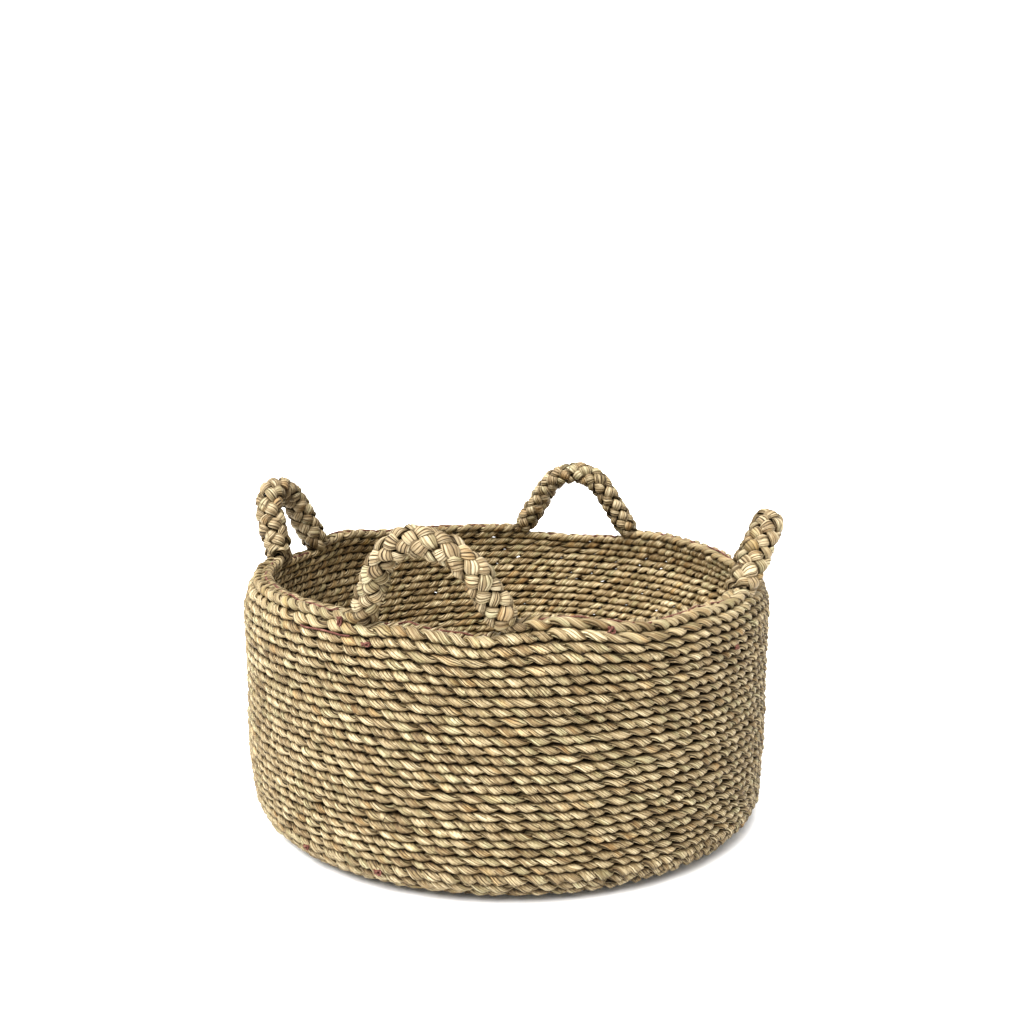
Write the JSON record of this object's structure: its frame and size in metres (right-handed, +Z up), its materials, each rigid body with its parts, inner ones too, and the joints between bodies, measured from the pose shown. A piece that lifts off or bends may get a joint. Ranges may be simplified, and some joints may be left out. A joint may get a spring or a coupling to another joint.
{
  "type": "storage basket",
  "caption": "Round coiled seagrass storage basket, open at the top, with woven loop handles standing on its rim that flex and spring back.",
  "frame": {"origin": "on the floor, at the centre of the underside of the base", "axes": "+Z up through the open mouth; the front handle is towards -Y, the right one towards +X, the back one towards +Y and the left one towards -X"},
  "size_m": [0.521, 0.5099, 0.311],
  "materials": {
    "seagrass": "dry, faintly glossy twisted grass blades",
    "seagrass_rim": "dry, faintly glossy twisted grass blades, paler on top",
    "seagrass_shade": "dry, matte, olive grass blades",
    "seagrass_braid": "dry, faintly glossy flat braided blades",
    "sewing_thread": "matte twisted thread"
  },
  "bodies": {
    "basket": {"base_coil": "seagrass_shade", "edge_coil": "seagrass", "wall_coil": "seagrass", "shoulder_coil": "seagrass", "rim_front_right": "seagrass_rim", "rim_right_back": "seagrass_rim", "rim_back_left": "seagrass_rim", "rim_left_front": "seagrass_rim", "thread_front": "sewing_thread", "thread_right": "sewing_thread", "thread_back": "sewing_thread", "thread_left": "sewing_thread", "thread_front_right": "sewing_thread", "thread_right_back": "sewing_thread", "thread_back_left": "sewing_thread", "thread_left_front": "sewing_thread"},
    "handle_front": {"core_front": "seagrass", "sleeve_front": "seagrass_braid"},
    "handle_right": {"core_right": "seagrass", "sleeve_right": "seagrass_braid"},
    "handle_back": {"core_back": "seagrass", "sleeve_back": "seagrass_braid"},
    "handle_left": {"core_left": "seagrass", "sleeve_left": "seagrass_braid"}
  },
  "joints": [
    {"name": "front_flex", "type": "hinge", "parent": "basket", "child": "handle_front", "pos_m": [0.00738, -0.2224, 0.23125], "axis": [0.9995, 0.0332, 0], "range_deg": [-45, 20], "stiffness_Nm_per_rad": 1.2},
    {"name": "right_flex", "type": "hinge", "parent": "basket", "child": "handle_right", "pos_m": [0.22205, 0.01826, 0.23125], "axis": [-0.0819, 0.9966, 0], "range_deg": [-46, 19], "stiffness_Nm_per_rad": 1.2},
    {"name": "back_flex", "type": "hinge", "parent": "basket", "child": "handle_back", "pos_m": [0.01199, 0.22136, 0.23125], "axis": [-0.9985, 0.0541, 0], "range_deg": [-21, 44], "stiffness_Nm_per_rad": 1.2},
    {"name": "left_flex", "type": "hinge", "parent": "basket", "child": "handle_left", "pos_m": [-0.22706, 0.01269, 0.23125], "axis": [-0.0558, -0.9984, 0], "range_deg": [-47, 18], "stiffness_Nm_per_rad": 1.2}
  ]
}
